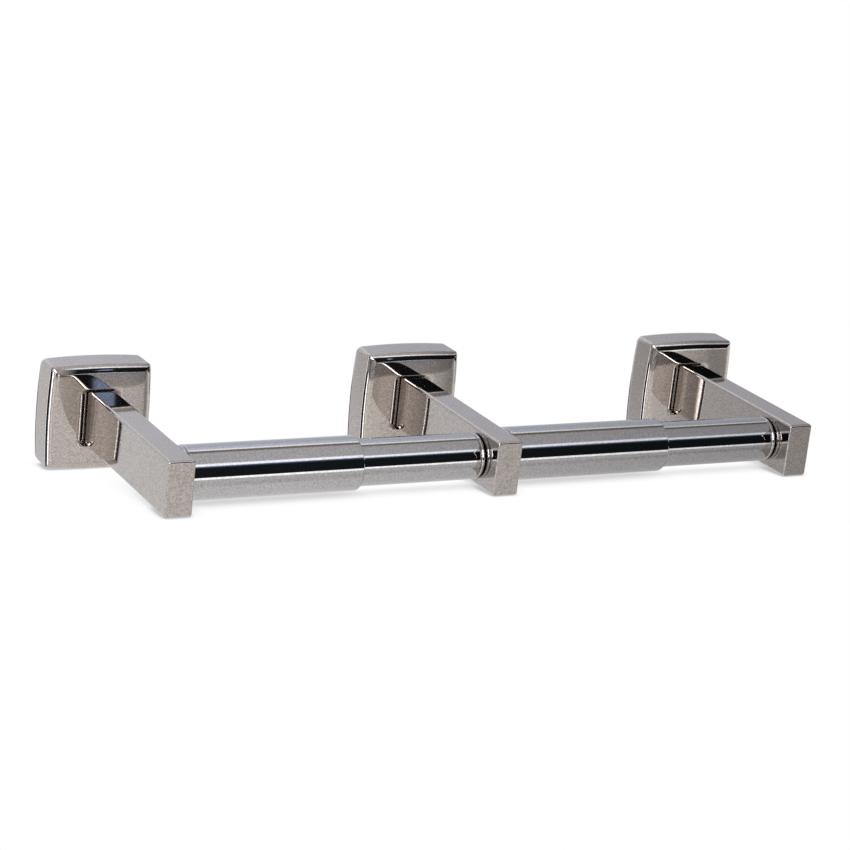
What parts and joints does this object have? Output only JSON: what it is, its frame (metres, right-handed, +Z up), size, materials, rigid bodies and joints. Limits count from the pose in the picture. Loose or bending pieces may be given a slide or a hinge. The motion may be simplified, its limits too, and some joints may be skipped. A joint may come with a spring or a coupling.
{
  "type": "toilet roll dispenser",
  "caption": "Wall-mounted twin toilet roll dispenser: polished square flanges with rectangular arms that carry spring-loaded telescoping spindles.",
  "frame": {"origin": "on the wall, at the centre of the middle post's two screw holes", "axes": "+X along the wall to the right seen from the room, +Y into the wall, +Z up"},
  "size_m": [0.3708, 0.115, 0.0508],
  "materials": {
    "polished_steel": "bright polished stainless steel",
    "sleeve_chrome": "bright plated tube",
    "cap_chrome": "bright plated moulding",
    "plate_steel": "mill finish, folded sheet",
    "screw_steel": "plain stainless",
    "spring_steel": "drawn wire",
    "nylon": "moulded nylon"
  },
  "bodies": {
    "posts": {"left_wall_plate": "plate_steel", "left_bracket": "plate_steel", "left_flange": "polished_steel", "left_arm": "polished_steel", "left_set_screw": "screw_steel", "centre_wall_plate": "plate_steel", "centre_bracket": "plate_steel", "centre_flange": "polished_steel", "centre_arm": "polished_steel", "centre_set_screw": "screw_steel", "right_wall_plate": "plate_steel", "right_bracket": "plate_steel", "right_flange": "polished_steel", "right_arm": "polished_steel", "right_set_screw": "screw_steel"},
    "left_outer": {"left_outer_sleeve": "sleeve_chrome", "left_outer_cap": "cap_chrome", "left_spring": "spring_steel"},
    "left_inner": {"left_inner_sleeve": "sleeve_chrome", "left_inner_cap": "cap_chrome", "left_guide": "nylon"},
    "right_outer": {"right_outer_sleeve": "sleeve_chrome", "right_outer_cap": "cap_chrome", "right_spring": "spring_steel"},
    "right_inner": {"right_inner_sleeve": "sleeve_chrome", "right_inner_cap": "cap_chrome", "right_guide": "nylon"}
  },
  "joints": [
    {"name": "left_spindle_turn", "type": "hinge", "parent": "posts", "child": "left_outer", "pos_m": [-0.08, -0.095, 0], "axis": [1, 0, 0], "continuous": true},
    {"name": "left_spindle_press", "type": "slide", "parent": "left_outer", "child": "left_inner", "axis": [1, 0, 0], "range_m": [-0.009, 0], "stiffness_N_per_m": 150, "springref_m": 0.03, "deforming": ["left_spring"]},
    {"name": "right_spindle_turn", "type": "hinge", "parent": "posts", "child": "right_outer", "pos_m": [0.08, -0.095, 0], "axis": [1, 0, 0], "continuous": true},
    {"name": "right_spindle_press", "type": "slide", "parent": "right_outer", "child": "right_inner", "axis": [1, 0, 0], "range_m": [-0.009, 0], "stiffness_N_per_m": 150, "springref_m": 0.03, "deforming": ["right_spring"]}
  ]
}
